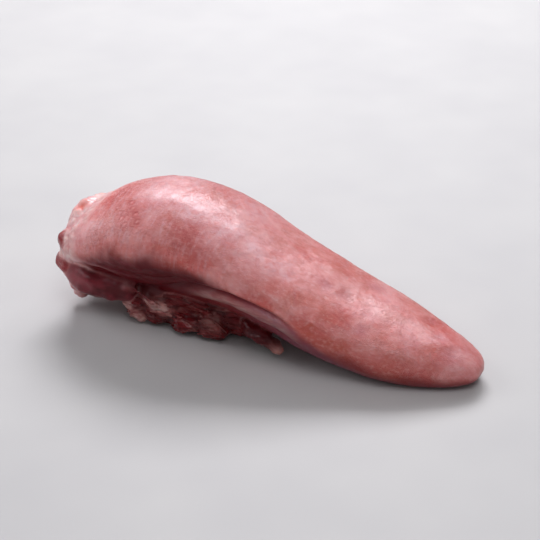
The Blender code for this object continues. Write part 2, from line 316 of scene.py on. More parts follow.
lobe_forms = [limb(ROOT_LOBE), limb(mirrored(ROOT_LOBE))]
fat_forms.append(limb(FAT_COLLAR))
film_forms = [
    limb(PALE_STRIP),
    limb(mirrored(PALE_STRIP, FAR_SHIFT["strip"])),
    limb(MEMBRANE),
    limb(mirrored(MEMBRANE, FAR_SHIFT["membrane"])),
]
muscle_forms += [limb(FRONT_STRAND), limb(mirrored(FRONT_STRAND, FAR_SHIFT["strand"]))]

# The whole surface. All these grew together, so they are fused to one closed surface and cut off
# where their own weight presses them flat. Its relief follows: soft dents in the skin, the fold
# along each side, grooves between the muscle's bundles, and the fat's small lobes.
VOXEL = 0.44
SMOOTHING = 4
SMOOTH_FACTOR = 0.5
FLOOR_BLOCK = 400.0


def joined(meshes):
    """One mesh that holds all of these."""
    whole = bmesh.new()
    for mesh in meshes:
        whole.from_mesh(mesh)
    made = bpy.data.meshes.new("joined")
    whole.to_mesh(made)
    whole.free()
    return made


def fused(meshes):
    """One closed surface round all these forms, cut off at the floor and smoothed."""
    block_mesh = bpy.data.meshes.new("floor block")
    block = bmesh.new()
    bmesh.ops.create_cube(block, size=FLOOR_BLOCK)
    bmesh.ops.translate(block, verts=block.verts[:], vec=(0.0, 0.0, -0.5 * FLOOR_BLOCK))
    block.to_mesh(block_mesh)
    block.free()
    floor_block = bpy.data.objects.new("floor block", block_mesh)
    bpy.context.scene.collection.objects.link(floor_block)
    holder = bpy.data.objects.new("fused", joined(meshes))
    for step in ("grow together", "floor", "even out"):
        if step == "floor":
            cut = holder.modifiers.new(step, "BOOLEAN")
            cut.operation = "DIFFERENCE"
            cut.solver = "MANIFOLD"
            cut.object = floor_block
        else:
            remesh = holder.modifiers.new(step, "REMESH")
            remesh.mode = "VOXEL"
            remesh.voxel_size = VOXEL
    smooth = holder.modifiers.new("smooth", "SMOOTH")
    smooth.factor = SMOOTH_FACTOR
    smooth.iterations = SMOOTHING
    mesh = applied(holder)
    bpy.data.objects.remove(floor_block, do_unlink=True)
    return mesh


def distance_to(meshes, places):
    """How far each place is from the nearest of these forms."""
    near = joined(meshes)
    faces = [tuple(face.vertices) for face in near.polygons]
    tree = BVHTree.FromPolygons(array_of(near, "co").tolist(), faces)
    return np.array([tree.find_nearest(p)[3] for p in places.tolist()])


def ramp(values, low, high):
    """0 up to low and 1 from high on, with a smooth rise between."""
    share = np.clip((values - low) / (high - low), 0.0, 1.0)
    return share * share * (3.0 - 2.0 * share)


def fall(values, low, high):
    """1 up to low and 0 from high on, with a smooth fall between."""
    return 1.0 - ramp(values, low, high)


def between(values, fade):
    """1 between the two inner values, with smooth ends out to the outer two."""
    return ramp(values, fade[0], fade[1]) * fall(values, fade[2], fade[3])


surface = fused(body_forms + muscle_forms + lobe_forms + fat_forms + film_forms)
points = array_of(surface, "co")
distances = {
    "skin": distance_to(body_forms, points),
    "meat": distance_to(muscle_forms, points),
    "lobe": distance_to(lobe_forms, points),
    "fat": distance_to(fat_forms, points),
    "film": distance_to(film_forms, points),
}

# The collar's inner edge runs smoothly into the skin, and the lobes' rear ends into the collar
BLEND_REACH = 2.6
BLEND_SMOOTHING = 14
soft = bmesh.new()
soft.from_mesh(surface)
soft.verts.ensure_lookup_table()
near_body = np.minimum(distances["skin"], distances["lobe"]) < BLEND_REACH
blending = [soft.verts[i] for i in np.flatnonzero((distances["fat"] < BLEND_REACH) & near_body)]
all_axes = {"use_axis_x": True, "use_axis_y": True, "use_axis_z": True}
for _ in range(BLEND_SMOOTHING):
    bmesh.ops.smooth_vert(soft, verts=blending, factor=SMOOTH_FACTOR, **all_axes)
soft.to_mesh(surface)
soft.free()
points = array_of(surface, "co")
normals = array_of(surface, "normal")
x, y, z = points.T
across = np.abs(y)

# Which tissue shows where, as shares that add up to 1
EDGE_BLUR = 0.22
weights = {kind: np.exp(-distance / EDGE_BLUR) for kind, distance in distances.items()}
total = sum(weights.values())
share_of = {kind: weight / total for kind, weight in weights.items()}


def hand_over(amount, giver, taker):
    """Moves this much of one tissue's share to another's."""
    share_of[taker] += amount
    share_of[giver] -= amount


def waved(level, waves):
    """A level with smooth noises added, each (height, size of its lumps, shift)."""
    for height, size, shift in waves:
        level = level + height * noise_at(points, size, shift)
    return level


# Inside the collar the cut shows muscle from edge to edge, wherever the surface faces the rear
CUT_TURN = (0.45, 0.75)
CUT_X = (-57.0, -54.0)
hand_over(share_of["skin"] * ramp(-normals[:, 0], *CUT_TURN) * fall(x, *CUT_X), "skin", "meat")
# Pale fat also spreads over the skin's rear edge, unevenly
SPREAD_REACH = (1.6, 8.0)
SPREAD_WAVES = ((2.2, 4.0, 0.0),)
SPREAD_Z = (10.0, 15.0)
spread = fall(waved(distances["fat"], SPREAD_WAVES), *SPREAD_REACH)
spread *= share_of["skin"] * ramp(z, *SPREAD_Z)
hand_over(spread, "skin", "fat")

# The fold under each side, where the rough skin of the back gives way to the smooth skin
# beneath: (x, z) points on the near side, which the far side repeats
FOLD_LINE = ((-49.0, 18.0), (-44.0, 16.5), (-38.0, 13.5), (-33.0, 12.5), (-28.0, 13.8), (-24.6, 15.1),
             (-19.0, 17.7), (-14.0, 19.2), (-9.0, 20.2), (-4.0, 20.6), (3.0, 19.4), (7.0, 18.2),
             (11.0, 16.6), (15.0, 14.3), (20.0, 10.4), (26.0, 6.0), (34.0, 3.0), (45.0, 1.6), (61.0, 1.6))
FOLD_FADE = (-36.0, -28.0, 8.0, 17.0)
FOLD_DEPTH = 1.3
FOLD_WIDTH = 0.8
HOLLOW_LINE = ((-61.0, 18.0), (-44.0, 17.6), (-34.0, 17.4), (-26.0, 18.2), (-16.0, 20.6), (-8.0, 22.0),
               (61.0, 22.0))
HOLLOW_FADE = (-50.0, -38.0, -20.0, -2.0)
HOLLOW_DEPTH = 1.5
HOLLOW_WIDTH = 3.6
# How far from the middle the sides begin
SIDES = (7.0, 10.0)
# Behind the middle the smooth skin of the underside, its own darker red with painted shade, runs a
# little way down over the muscle and its films
APRON_LINE = ((-47.0, 9.5), (-40.0, 8.0), (-34.0, 8.8), (-28.0, 11.0), (-23.0, 13.6), (-16.0, 16.8),
              (-8.0, 19.0))
APRON_FADE = (-47.0, -42.0, -12.0, -4.0)
APRON_WAVES = ((1.4, 2.5, 3.0),)
APRON_EDGE = 0.8
# The edge between the two skins: its half-width at the rear, how much wider it is in front, and where
UNDER_EDGE = 0.8
UNDER_WIDENING = 1.2
UNDER_FRONT = (2.0, 20.0)
UNDER_WAVES = ((0.7, 5.0, 0.0),)
# Where the rough skin ends over the hump's sides, above smooth dark skin that runs down to the fold.
# That skin's darkness is partly its own deeper red and partly painted shade under the hump's overhang.
SMOOTH_LINE = ((-61.0, 17.0), (-54.0, 17.0), (-49.0, 19.5), (-45.0, 22.5), (-40.0, 25.5), (-34.0, 27.6),
               (-28.0, 28.0), (-22.0, 27.2), (-16.0, 25.2), (-11.0, 23.4), (-5.5, 21.8), (0.0, 19.8),
               (61.0, 0.0))
SMOOTH_FADE = (-60.0, -56.0, -8.0, 0.0)
SMOOTH_EDGE = (-4.0, 3.0)
SMOOTH_START = (-1.0, 0.0)
FRINGE_WAVES = ((1.0, (1.6, 4.5, 4.5), 3.0), (2.6, 5.0, 6.0))
SMOOTH_WAVES = ((0.18, (2.8, 1.5, 1.5), 5.0),)
SMOOTH_SINK = 0.12
# The pale band of smooth skin just under the fold
BAND_FADE = (-21.0, -9.0, 8.0, 21.0)
BAND_DROP = 2.1
BAND_WIDTH = 1.25
BAND_HEIGHT = 0.55
BAND_WAVES = ((0.25, (7.0, 1.4, 1.4), 2.0),)


def height_over(line):
    """How far above a line of (x, z) points each point of the surface is."""
    places, heights = zip(*line)
    return z - np.interp(x, places, heights)


above_fold = height_over(FOLD_LINE)
apron = ramp(waved(height_over(APRON_LINE), APRON_WAVES), -APRON_EDGE, APRON_EDGE) * between(x, APRON_FADE)
for kind in ("meat", "film"):
    hand_over(apron * share_of[kind], kind, "skin")
fold = between(x, FOLD_FADE) * ramp(across, *SIDES)
hollow = between(x, HOLLOW_FADE) * ramp(across, *SIDES)
hollow *= np.exp(-((height_over(HOLLOW_LINE) / HOLLOW_WIDTH) ** 2))
under_edge = UNDER_EDGE + UNDER_WIDENING * ramp(x, *UNDER_FRONT)
under = share_of["skin"] * fall(waved(above_fold, UNDER_WAVES) / under_edge, -1.0, 1.0)
fringe = waved(0.0, FRINGE_WAVES)
smooth_side = fall(height_over(SMOOTH_LINE) + fringe, *SMOOTH_EDGE)
smooth_side *= between(x, SMOOTH_FADE) * share_of["skin"] * ramp(above_fold, *SMOOTH_START)
band = between(x, BAND_FADE) * np.exp(-(((above_fold + BAND_DROP) / BAND_WIDTH) ** 4)) * under

# Skin: soft lumps, and over the hump's sides short wrinkles that run down
SKIN_WAVES = ((0.22, 9.0, 0.0), (0.10, 3.2, 7.0))
# The wrinkles and the patches that they come in: (size of the lumps, shift)
WRINKLES = ((1.3, 5.0, 5.0), 11.0)
WRINKLE_PATCHES = (9.0, 5.0)
WRINKLE_LEVELS = (-0.25, 0.35)
WRINKLE_FADE = (-54.0, -46.0, -20.0, -4.0)
WRINKLE_SIDES = (4.0, 10.0)
WRINKLE_HEIGHT = 0.12
skin_relief = (
    waved(0.0, SKIN_WAVES)
    - FOLD_DEPTH * fold * np.exp(-((above_fold / FOLD_WIDTH) ** 2))
    + waved(BAND_HEIGHT, BAND_WAVES) * band
    - HOLLOW_DEPTH * hollow
    + waved(0.0, SMOOTH_WAVES) * smooth_side
    - SMOOTH_SINK * smooth_side
)
wrinkles = noise_at(points, *WRINKLES) * ramp(noise_at(points, *WRINKLE_PATCHES), *WRINKLE_LEVELS)
skin_relief += WRINKLE_HEIGHT * wrinkles * between(x, WRINKLE_FADE) * ramp(across, *WRINKLE_SIDES)

# Two rows of round papillae stand in small moats on each side of the hump's rear: (x, distance
# from the middle) of the first one, the step to the next, and their number
MOAT_ROWS = (((-37.5, 8.0), (1.6, 1.9), 4), ((-41.0, 9.5), (1.7, 1.8), 4))
MOAT_SCATTER = 0.3
MOAT_RADIUS = 0.75
MOAT_WIDTH = 0.3
MOAT_DEPTH = 0.08
KNOB_RADIUS = 0.45
KNOB_HEIGHT = 0.05
# In the finish the moats' grooves get painted shade and their knobs a painted highlight
moats = np.zeros(len(points))
knobs = np.zeros(len(points))
for (row_x, row_y), (step_x, step_y), count in MOAT_ROWS:
    for k in range(count):
        moat_x = row_x + k * step_x + draw.uniform(-MOAT_SCATTER, MOAT_SCATTER)
        away = np.hypot(x - moat_x, across - row_y - k * step_y)
        away[z < 0.5 * HEIGHT] = np.inf
        moats = np.maximum(moats, np.exp(-(((away - MOAT_RADIUS) / MOAT_WIDTH) ** 2)))
        knobs = np.maximum(knobs, np.exp(-((away / KNOB_RADIUS) ** 2)))
skin_relief += KNOB_HEIGHT * knobs - MOAT_DEPTH * moats

# Dents in the skin of the front, (x, y, z, radius, depth), and fine creases, each a path
DENTS = ((17.6, -3.6, 21.6, 2.0, 0.22), (22.7, -2.9, 19.5, 2.3, 0.26), (53.0, -4.3, 9.7, 2.4, 0.26),
         (48.5, -0.8, 11.5, 2.0, 0.20), (30.2, -11.0, 15.0, 1.8, 0.18), (27.0, 7.5, 17.0, 2.4, 0.24),
         (44.0, 5.0, 11.5, 2.0, 0.20))
CREASES = (((42.7, -4.8, 13.1), (44.6, -8.0, 12.0), (45.6, -10.8, 10.2)),
           ((12.0, -11.0, 22.5), (13.2, -14.0, 20.0), (13.4, -16.6, 17.4)),
           ((36.0, 4.0, 14.5), (37.5, 8.0, 13.0)))
CREASE_WIDTH = 0.45
CREASE_DEPTH = 0.16
FRONT_WAVES = ((0.05, 1.5, 2.0),)
FRONT_X = (-30.0, 0.0)


def away_from(path, places):
    """How far each of these places is from a path of straight runs."""
    away = np.full(len(places), np.inf)
    for start, end in zip(path, path[1:]):
        run = np.array(end) - start
        share = np.clip((places - start) @ run / (run @ run), 0.0, 1.0)
        away = np.minimum(away, np.linalg.norm(places - start - share[:, None] * run, axis=1))
    return away


def swell(places, centre, radius):
    """A soft round swell about a centre, 1 in its middle."""
    return np.exp(-((np.linalg.norm(places - centre, axis=1) / radius) ** 2))


# The dents and creases are also painted a darker mauve in the finish: painted shade in the hollows
dent_shade = np.zeros(len(points))
for *centre, radius, depth in DENTS:
    bowl = swell(points, centre, radius)
    dent_shade = np.maximum(dent_shade, bowl)
    skin_relief -= depth * bowl
creased = np.zeros(len(points))
for path in CREASES:
    creased = np.maximum(creased, np.exp(-((away_from(path, points) / CREASE_WIDTH) ** 2)))
skin_relief -= CREASE_DEPTH * creased
skin_relief += waved(0.0, FRONT_WAVES) * ramp(x, *FRONT_X)

# Muscle: bundles with grooves between, and fibres along them. On the cut face at the root the
# bundles are seen end-on. A kind of bundle is (its size along X, Y and Z, shift).
LONG_BUNDLES = ((13.0, 4.2, 3.6), 2.3)
END_BUNDLES = ((8.0, 3.8, 3.4), 5.1)
FAT_CELLS = (2.6, 8.0)
BUNDLE_WANDER = ((0.8, 3.0, 0.0),)
END_ON_X = (-56.0, -53.0)
BUNDLE_RISE = 0.50
BUNDLE_SINK = 0.30
BUNDLE_EDGE = 0.40
SEPTUM_EDGE = (0.02, 0.14)
MEAT_WAVES = ((0.36, (5.0, 1.5, 1.5), 9.0), (0.10, (3.0, 0.7, 0.7), 4.0), (0.10, 1.2, 6.0))
END_ON_FLATNESS = 0.7


def bundles_at(places, size, shift):
    """How far each place is inside its bundle, from 0 at the edge to about 1 in the middle."""
    rows = []
    for p in (places / np.array(size) + shift).tolist():
        nearest = noise.voronoi(p)[0]
        rows.append(nearest[1] - nearest[0])
    return np.array(rows)


end_on = fall(x, *END_ON_X)
lengthways = bundles_at(points + waved(0.0, BUNDLE_WANDER)[:, None], *LONG_BUNDLES)
inside = lengthways * (1.0 - end_on) + bundles_at(points, *END_BUNDLES) * end_on
meat_relief = waved(BUNDLE_RISE * ramp(inside, 0.0, BUNDLE_EDGE) - BUNDLE_SINK, MEAT_WAVES)
meat_relief *= 1.0 - END_ON_FLATNESS * end_on

# Fat in small soft lobes, the films and the lobes at the root, and the ridge along each lobe
CELL_RISE = 0.20
CELL_SINK = 0.10
CELL_EDGE = 0.5
FAT_WAVES = ((0.25, 3.4, 0.0), (0.08, 1.1, 0.0))
FILM_WAVES = ((0.35, (3.0, 1.2, 1.2), 0.0), (0.15, 0.9, 0.0))
LOBE_WAVES = ((0.22, 4.0, 0.0), (0.05, 1.2, 0.0))
# The pale ridge along each lobe's upper edge, as (x, y, z) on the near side
LOBE_RIDGE = ((-53.0, -15.6, 18.0), (-48.6, -18.2, 20.4), (-43.5, -18.3, 18.8), (-41.0, -16.8, 16.4),
              (-38.0, -14.7, 13.2))
RIDGE_WIDTH = 0.85
RIDGE_HEIGHT = 0.45
# The collar's thickest lobes, and the dimple in one of them: (x, y, z, radius, height)
SWELLS = ((-56.8, -3.0, 28.8, 3.6, 1.2), (-57.5, -10.5, 22.5, 2.6, 0.7), (-57.0, -11.5, 16.5, 2.4, 0.5),
          (-57.0, 8.0, 25.0, 3.0, 0.7))
DIMPLE = (-56.4, -3.8, 29.2, 1.7, -1.0)
fat_cells = bundles_at(points, *FAT_CELLS)
fat_relief = waved(CELL_RISE * ramp(fat_cells, 0.0, CELL_EDGE) - CELL_SINK, FAT_WAVES)
ridge = np.exp(-((away_from(LOBE_RIDGE, np.column_stack((x, -across, z))) / RIDGE_WIDTH) ** 2))
collar_relief = np.zeros(len(points))
for *centre, radius, rise in SWELLS + (DIMPLE,):
    collar_relief += rise * swell(points, centre, radius)
*centre, radius, rise = DIMPLE
dimple = swell(points, centre, radius)
relief = (
    share_of["skin"] * skin_relief
    + share_of["meat"] * meat_relief
    + share_of["fat"] * fat_relief
    + share_of["film"] * waved(0.0, FILM_WAVES)
    + share_of["lobe"] * waved(0.0, LOBE_WAVES)
    + RIDGE_HEIGHT * ridge
    + collar_relief
)

# The surface takes its place in the solid's box, with room for the papillae that stand on it. Where
# it is pressed flat it has no relief: below this height, facing down at least this much.
STANDING_ROOM = 0.32
PRESSED_HEIGHT = 0.6
PRESSED_TURN = 0.5
relief[(z < PRESSED_HEIGHT) & (normals[:, 2] < -PRESSED_TURN)] = 0.0
points += normals * relief[:, None]
points[:, 2] = np.maximum(points[:, 2], 0.0)
low = np.array(cad_low) / MM + (STANDING_ROOM, STANDING_ROOM, 0.0)
high = np.array(cad_high) / MM - STANDING_ROOM
span = points.max(axis=0) - points.min(axis=0)
points = low + (points - points.min(axis=0)) * (high - low) / span
surface.vertices.foreach_set("co", (points * MM).astype(np.float32).ravel())
surface.update()

# Redder patches where blood shows through the skin: (x, y, z, radius, strength)
FLUSHES = ((-43.0, -4.5, 35.2, 4.0, 0.8), (-34.0, -13.0, 34.5, 5.0, 0.8), (-17.0, -14.5, 32.0, 4.5, 0.9),
           (-10.5, -14.0, 30.4, 4.0, 0.7), (5.0, -15.5, 23.2, 5.0, 0.7), (12.8, -14.2, 20.9, 4.5, 0.8),
           (9.5, -18.4, 18.0, 4.0, 0.6), (20.9, -14.4, 17.7, 3.5, 0.8), (17.4, -18.6, 13.5, 4.0, 0.9),
           (37.6, -13.5, 12.0, 5.0, 0.6), (28.4, -16.4, 12.2, 5.5, 0.8), (40.0, -15.0, 7.7, 5.0, 0.7),
           (48.2, -9.0, 9.9, 4.0, 0.5), (27.0, 6.0, 18.5, 4.0, 0.8), (44.0, 4.0, 12.0, 4.0, 0.6),
           (-44.0, -17.5, 27.0, 5.0, 0.5), (20.0, 10.0, 17.0, 7.0, 0.6), (-20.0, 14.0, 30.0, 7.0, 0.6),
           (38.0, 9.0, 11.0, 6.0, 0.7), (-50.0, -2.0, 32.0, 4.0, 0.7))
# Painted sheen: paler patches laid where the highlights fall, mostly along the crest
PAINTED_SHEEN_PATCHES = ((-30.0, -5.0, 37.5, 8.0, 0.8), (-18.0, -5.0, 36.5, 7.0, 0.9), (-9.0, -6.0, 33.0, 6.0, 0.9),
         (-1.0, -8.0, 29.0, 5.5, 0.8), (7.0, -9.0, 25.5, 5.0, 0.8), (15.0, -6.5, 22.3, 4.5, 0.3),
         (30.0, -7.0, 16.9, 4.0, 0.4), (43.0, -6.5, 12.8, 4.5, 0.6), (-49.0, -14.0, 26.0, 5.0, 0.6),
         (56.0, -3.0, 8.0, 5.0, 0.4), (-30.0, 8.0, 36.0, 9.0, 0.7), (-8.0, 9.0, 31.0, 7.0, 0.6),
         (30.0, 6.0, 16.0, 6.0, 0.5))
# Scraps of pale tissue on the muscle
SCRAPS = ((9.2, -13.6, 3.0, 2.4, 1.0), (-12.0, -13.5, 6.5, 2.2, 0.7), (-16.0, -12.5, 2.2, 1.6, 0.6),
          (-26.0, -13.0, 8.6, 2.4, 0.6), (4.0, 12.2, 2.6, 1.8, 0.8), (-18.0, 13.0, 6.0, 2.4, 0.6))
SPOT_WANDER = ((2.5, 5.0, 2.0),)
wandered = points + waved(0.0, SPOT_WANDER)[:, None]


def spots(places):
    """How strongly each point is coloured by a list of soft round patches."""
    colouring = np.zeros(len(points))
    for *centre, radius, strength in places:
        colouring = np.maximum(colouring, strength * swell(wandered, centre, radius))
    return colouring


# The flanks, by how little the skin faces up. Painted shade: a darker red is laid on the skin where it
# turns away from the light above. In front the flanks begin lower and are weaker.
FLANK_WAVES = ((0.25, 7.0, 4.0),)
FLANK_TURN = (-0.45, 0.42)
FLANK_LIFT = 0.12
FLANK_LIFT_X = (0.0, 15.0)
FLANK_FADE = 0.45
FLANK_FADE_X = (8.0, 22.0)
# Painted shade along the lowest edge, where the skin faces down towards the floor
LOW_EDGE_TURN = (-0.60, 0.12)
facing_up = waved(normals[:, 2], FLANK_WAVES)
flank = share_of["skin"] * fall(facing_up + FLANK_LIFT * ramp(x, *FLANK_LIFT_X), *FLANK_TURN)
flank *= 1.0 - FLANK_FADE * ramp(x, *FLANK_FADE_X)

# Papillae cover the back from the collar to the tip. They stop short of the fold and of the smooth
# sides, leave the moats' knobs free, and are smaller in front and where the paler sheen is painted.
BACK_RISE = (0.5, 3.0)
BACK_X = (-51.0, -42.0)
BACK_MARGIN = (1.0, 6.0)
KNOB_FREE = (0.3, 0.6)
SMALLEST = 0.80
FULL_SIZE_X = (-30.0, 20.0)
SHEEN_SHRINK = 0.30
# The paler patches of painted sheen
pale = spots(PAINTED_SHEEN_PATCHES)
back = (share_of["skin"] - under) * ramp(above_fold, *BACK_RISE) * ramp(x, *BACK_X)
beside_smooth = between(x, SMOOTH_FADE) * fall(height_over(SMOOTH_LINE) + fringe, *BACK_MARGIN)
back *= (1.0 - beside_smooth) * fall(knobs, *KNOB_FREE)
papilla_size = (SMALLEST + (1.0 - SMALLEST) * fall(x, *FULL_SIZE_X)) * (1.0 - SHEEN_SHRINK * pale)

# The masks that the surface carries, for its finish and for what grows on it
# Painted highlight on the moats' knobs
KNOB_HIGHLIGHT = 0.4
# How strongly the creases get painted shade
CREASE_SHADE = 0.7
SHELTERED_MEAT = 0.8
SHELTERED_LOBE = 0.5
SHELTERED_END = 0.5
# Painted sheen: the smooth sides turn a lighter mauve towards the rear and away from the fold
MAUVE_X = (-40.0, -24.0)
MAUVE_RISE = (1.0, 4.0)
STREAKY_FADE = (-56.0, -46.0, -20.0, 6.0)
SHREDS_Z = (0.8, 1.8)
SHREDS_X = (-9.0, -4.0)
meat_shelter = SHELTERED_MEAT * share_of["meat"] * (1.0 - SHELTERED_END * end_on)
masks = {
    "meat": share_of["meat"],
    "fat": share_of["fat"],
    "film": share_of["film"],
    "lobe": share_of["lobe"],
    "flank": flank,
    "low_edge": share_of["skin"] * fall(facing_up, *LOW_EDGE_TURN),
    "under": under,
    "band": band,
    "septa": fall(inside, *SEPTUM_EDGE),
    "flush": spots(FLUSHES),
    "dent_shade": np.maximum(dent_shade, CREASE_SHADE * creased),
    # Painted highlight: the paler patches along the crest and the paler knobs in the moats
    "pale": np.maximum(pale, KNOB_HIGHLIGHT * knobs),
    "scrap": spots(SCRAPS),
    "smooth_side": smooth_side,
    "sheltered": np.maximum(smooth_side, meat_shelter + SHELTERED_LOBE * share_of["lobe"]),
    "moat_shade": moats,
    "cut_end": end_on,
    "mauve": fall(x, *MAUVE_X) * ramp(above_fold, *MAUVE_RISE),
    "streaky": between(x, STREAKY_FADE),
    "rim": ridge,
    "dimple": dimple,
    "papillae": back,
    "papilla_size": papilla_size,
    "shreds": share_of["meat"] * (1.0 - end_on) * ramp(z, *SHREDS_Z) * fall(x, *SHREDS_X),
}
# Masks that rise over a stretch of one measure, and masks that fall: (the measure, from, to)
# The mask of the muscle's front end, which gets painted shade
RISING = {"meat_front_shade": (x, -7.0, -2.0), "front": (x, -6.0, 10.0)}
FALLING = {
    "fat_seams": (fat_cells, 0.0, 0.22),
    "low": (z, 6.0, 12.0),
    "rear": (x, -22.0, -6.0),
    "root": (x, -56.0, -48.0),
}
masks.update({name: ramp(*stretch) for name, stretch in RISING.items()})
masks.update({name: fall(*stretch) for name, stretch in FALLING.items()})
for name, values in masks.items():
    attribute = surface.attributes.new(name, "FLOAT", "POINT")
    attribute.data.foreach_set("value", np.clip(values, 0.0, 1.0).astype(np.float32))
surface.shade_smooth()


# The finish of the whole surface: pale pink skin mottled with red, dark wet muscle with white
# tissue between its bundles, creamy fat and grey-pink films, all moist.
def tone(red, green, blue):
    """A colour given as red, green and blue from 0 to 255, turned to what a shader takes."""
    shares = [value / 255.0 for value in (red, green, blue)]
    return tuple(s / 12.92 if s <= 0.04045 else ((s + 0.055) / 1.055) ** 2.4 for s in shares) + (1.0,)


SKIN_LIGHT = tone(236, 200, 208)
SKIN_PALE = tone(232, 154, 150)
SKIN_ROSE = tone(214, 106, 100)
SKIN_FLUSH_AND_SHADE = tone(192, 76, 72)
SKIN_SPECK = tone(240, 184, 180)
SKIN_RUSSET = tone(196, 88, 66)
SKIN_MAUVE = tone(188, 108, 118)
# Painted shade for the flanks and for the lowest edge
FLANK_SHADE_RED = tone(156, 44, 44)
LOW_EDGE_SHADE_RED = tone(122, 16, 22)
UNDER_RED_AND_SHADE = tone(136, 44, 50)
UNDER_PURPLE_AND_SHADE = tone(124, 56, 78)
SMOOTH_DARK_AND_SHADE = tone(96, 14, 24)
SMOOTH_MAUVE_SHEEN = tone(150, 78, 90)
BAND_GREY = tone(178, 134, 130)
MEAT_DARK = tone(78, 10, 16)
MEAT_RED = tone(124, 26, 30)
MEAT_TAN = tone(128, 50, 48)
ROOT_RED = tone(152, 34, 42)
TISSUE = tone(190, 136, 128)
FAT_CREAM = tone(232, 196, 192)
FAT_PINK = tone(216, 152, 152)
FAT_ROSE = tone(186, 96, 100)
DIMPLE_ORANGE = tone(222, 104, 84)
RIM_PINK = tone(220, 166, 168)
LOBE_DARK = tone(96, 14, 24)
LOBE_LIGHT = tone(130, 36, 48)
LOBE_MAUVE = tone(166, 92, 98)
FILM_PALE = tone(208, 166, 158)
FILM_ROSE = tone(140, 74, 74)
# Cloudy patterns: (size of the clouds in mm along X, Y and Z, detail, place, warp, the noise at
# which the pattern starts and is full, its share at those two)
UNMOVED = (0.0, 0.0, 0.0)
PATTERNS = {
    "broad clouds": ((14.0, 11.0, 11.0), 5.0, UNMOVED, 0.8, (0.38, 0.62), (0.0, 1.0)),
    "blotches": ((4.5, 3.6, 3.6), 4.0, (0.0, 3.0, 1.0), 1.0, (0.50, 0.70), (0.0, 0.45)),
    "russet clouds": ((9.0, 6.0, 6.0), 4.0, (4.0, 1.0, 0.0), 1.0, (0.50, 0.66), (0.0, 0.45)),
    "mauve spots": ((5.0, 4.0, 4.0), 3.0, (6.0, 2.0, 3.0), 1.0, (0.52, 0.72), (0.0, 0.20)),
    "patchwork": ((1.9, 1.5, 1.5), 3.0, (1.0, 1.0, 4.0), 0.6, (0.36, 0.64), (0.35, 1.0)),
    "streaks": ((0.9, 4.0, 4.0), 2.0, (2.0, 0.0, 1.0), 0.0, (0.50, 0.70), (0.0, 0.24)),
    "specks": ((1.2, 0.8, 0.8), 1.0, UNMOVED, 0.0, (0.50, 0.75), (0.0, 0.30)),
    "mauve clouds": ((3.2, 1.6, 1.6), 2.0, (0.0, 2.0, 5.0), 0.0, (0.45, 0.68), (0.0, 0.45)),
    "purple clouds": ((6.0, 3.0, 3.0), 3.0, UNMOVED, 0.0, (0.35, 0.65), (0.3, 1.0)),
    "band streaks": ((7.0, 0.9, 0.9), 3.0, (3.0, 0.0, 2.0), 0.0, (0.35, 0.65), (0.35, 0.95)),
    "fibres": ((6.0, 1.1, 1.1), 3.0, UNMOVED, 0.0, (0.35, 0.65), (0.0, 1.0)),
    "tan clouds": ((7.0, 4.0, 4.0), 2.0, (1.0, 5.0, 0.0), 0.0, (0.52, 0.70), (0.0, 0.30)),
    "white threads": ((3.0, 1.5, 1.5), 2.0, UNMOVED, 0.0, (0.45, 0.65), (0.0, 0.25)),
    "pale bits": ((3.4, 1.8, 1.8), 3.0, (5.0, 1.0, 2.0), 0.8, (0.58, 0.74), (0.0, 0.45)),
    "fat clouds": ((4.0, 3.0, 3.0), 3.0, UNMOVED, 0.0, (0.40, 0.65), (0.0, 1.0)),
    "seam clouds": ((3.0, 3.0, 3.0), 2.0, UNMOVED, 0.0, (0.40, 0.60), (0.0, 0.5)),
    "lobe clouds": ((5.0, 3.0, 3.0), 3.0, UNMOVED, 0.0, (0.40, 0.62), (0.0, 1.0)),
    "film clouds": ((3.0, 1.2, 1.2), 3.0, UNMOVED, 0.0, (0.40, 0.62), (0.0, 1.0)),
    "roughness": ((2.2, 2.2, 2.2), 3.0, UNMOVED, 0.0, (0.35, 0.65), (0.32, 0.48)),
}
# How much smoother the wet muscle is
WETNESS = 0.16
# The finest relief, in the shader alone, its heights in mm
SKIN_GRAIN = (0.6, 0.45, 0.45)
SKIN_GRAIN_HEIGHT = 0.05
STRAND_GRAIN = (3.5, 0.5, 0.5)
STRAND_HEIGHT = 0.08
# How far light travels under the surface, in mm, and each colour's share of that
SCATTER_DEPTH = 2.5
SCATTER_SHARES = (1.0, 0.35, 0.25)
WET_IOR = 1.38
SHEEN_TINT = (1.0, 0.84, 0.88, 1.0)
# The level of the sheen, in the open and where the surface is sheltered, and what is left there of
# the wet coat
SHEEN = (0.5, 0.25)
SHELTERED_COAT = 0.3


def put(tree, kind, values=(), **settings):
    """A new node with its settings, and each input's value or the socket that feeds it."""
    node = tree.nodes.new(kind)
    for name, value in settings.items():
        setattr(node, name, value)
    for name, value in values:
        if isinstance(value, bpy.types.NodeSocket):
            tree.links.new(value, node.inputs[name])
        else:
            node.inputs[name].default_value = value
    return node


def mixed(tree, share, low, high):
    """One colour turning to another by a share."""
    values = (("Factor", share), (6, low), (7, high))
    return put(tree, "ShaderNodeMix", values, data_type="RGBA").outputs[2]


def stretched(tree, value, low, high, new_low=0.0, new_high=1.0):
    """A value's range from low to high spread over a new range, and held at its ends."""
    ends = (("From Min", low), ("From Max", high), ("To Min", new_low), ("To Max", new_high))
    return put(tree, "ShaderNodeMapRange", (("Value", value),) + ends).outputs["Result"]


def times(tree, first, second, operation="MULTIPLY"):
    """Two values multiplied, or put together by another operation."""
    return put(tree, "ShaderNodeMath", ((0, first), (1, second)), operation=operation).outputs[0]


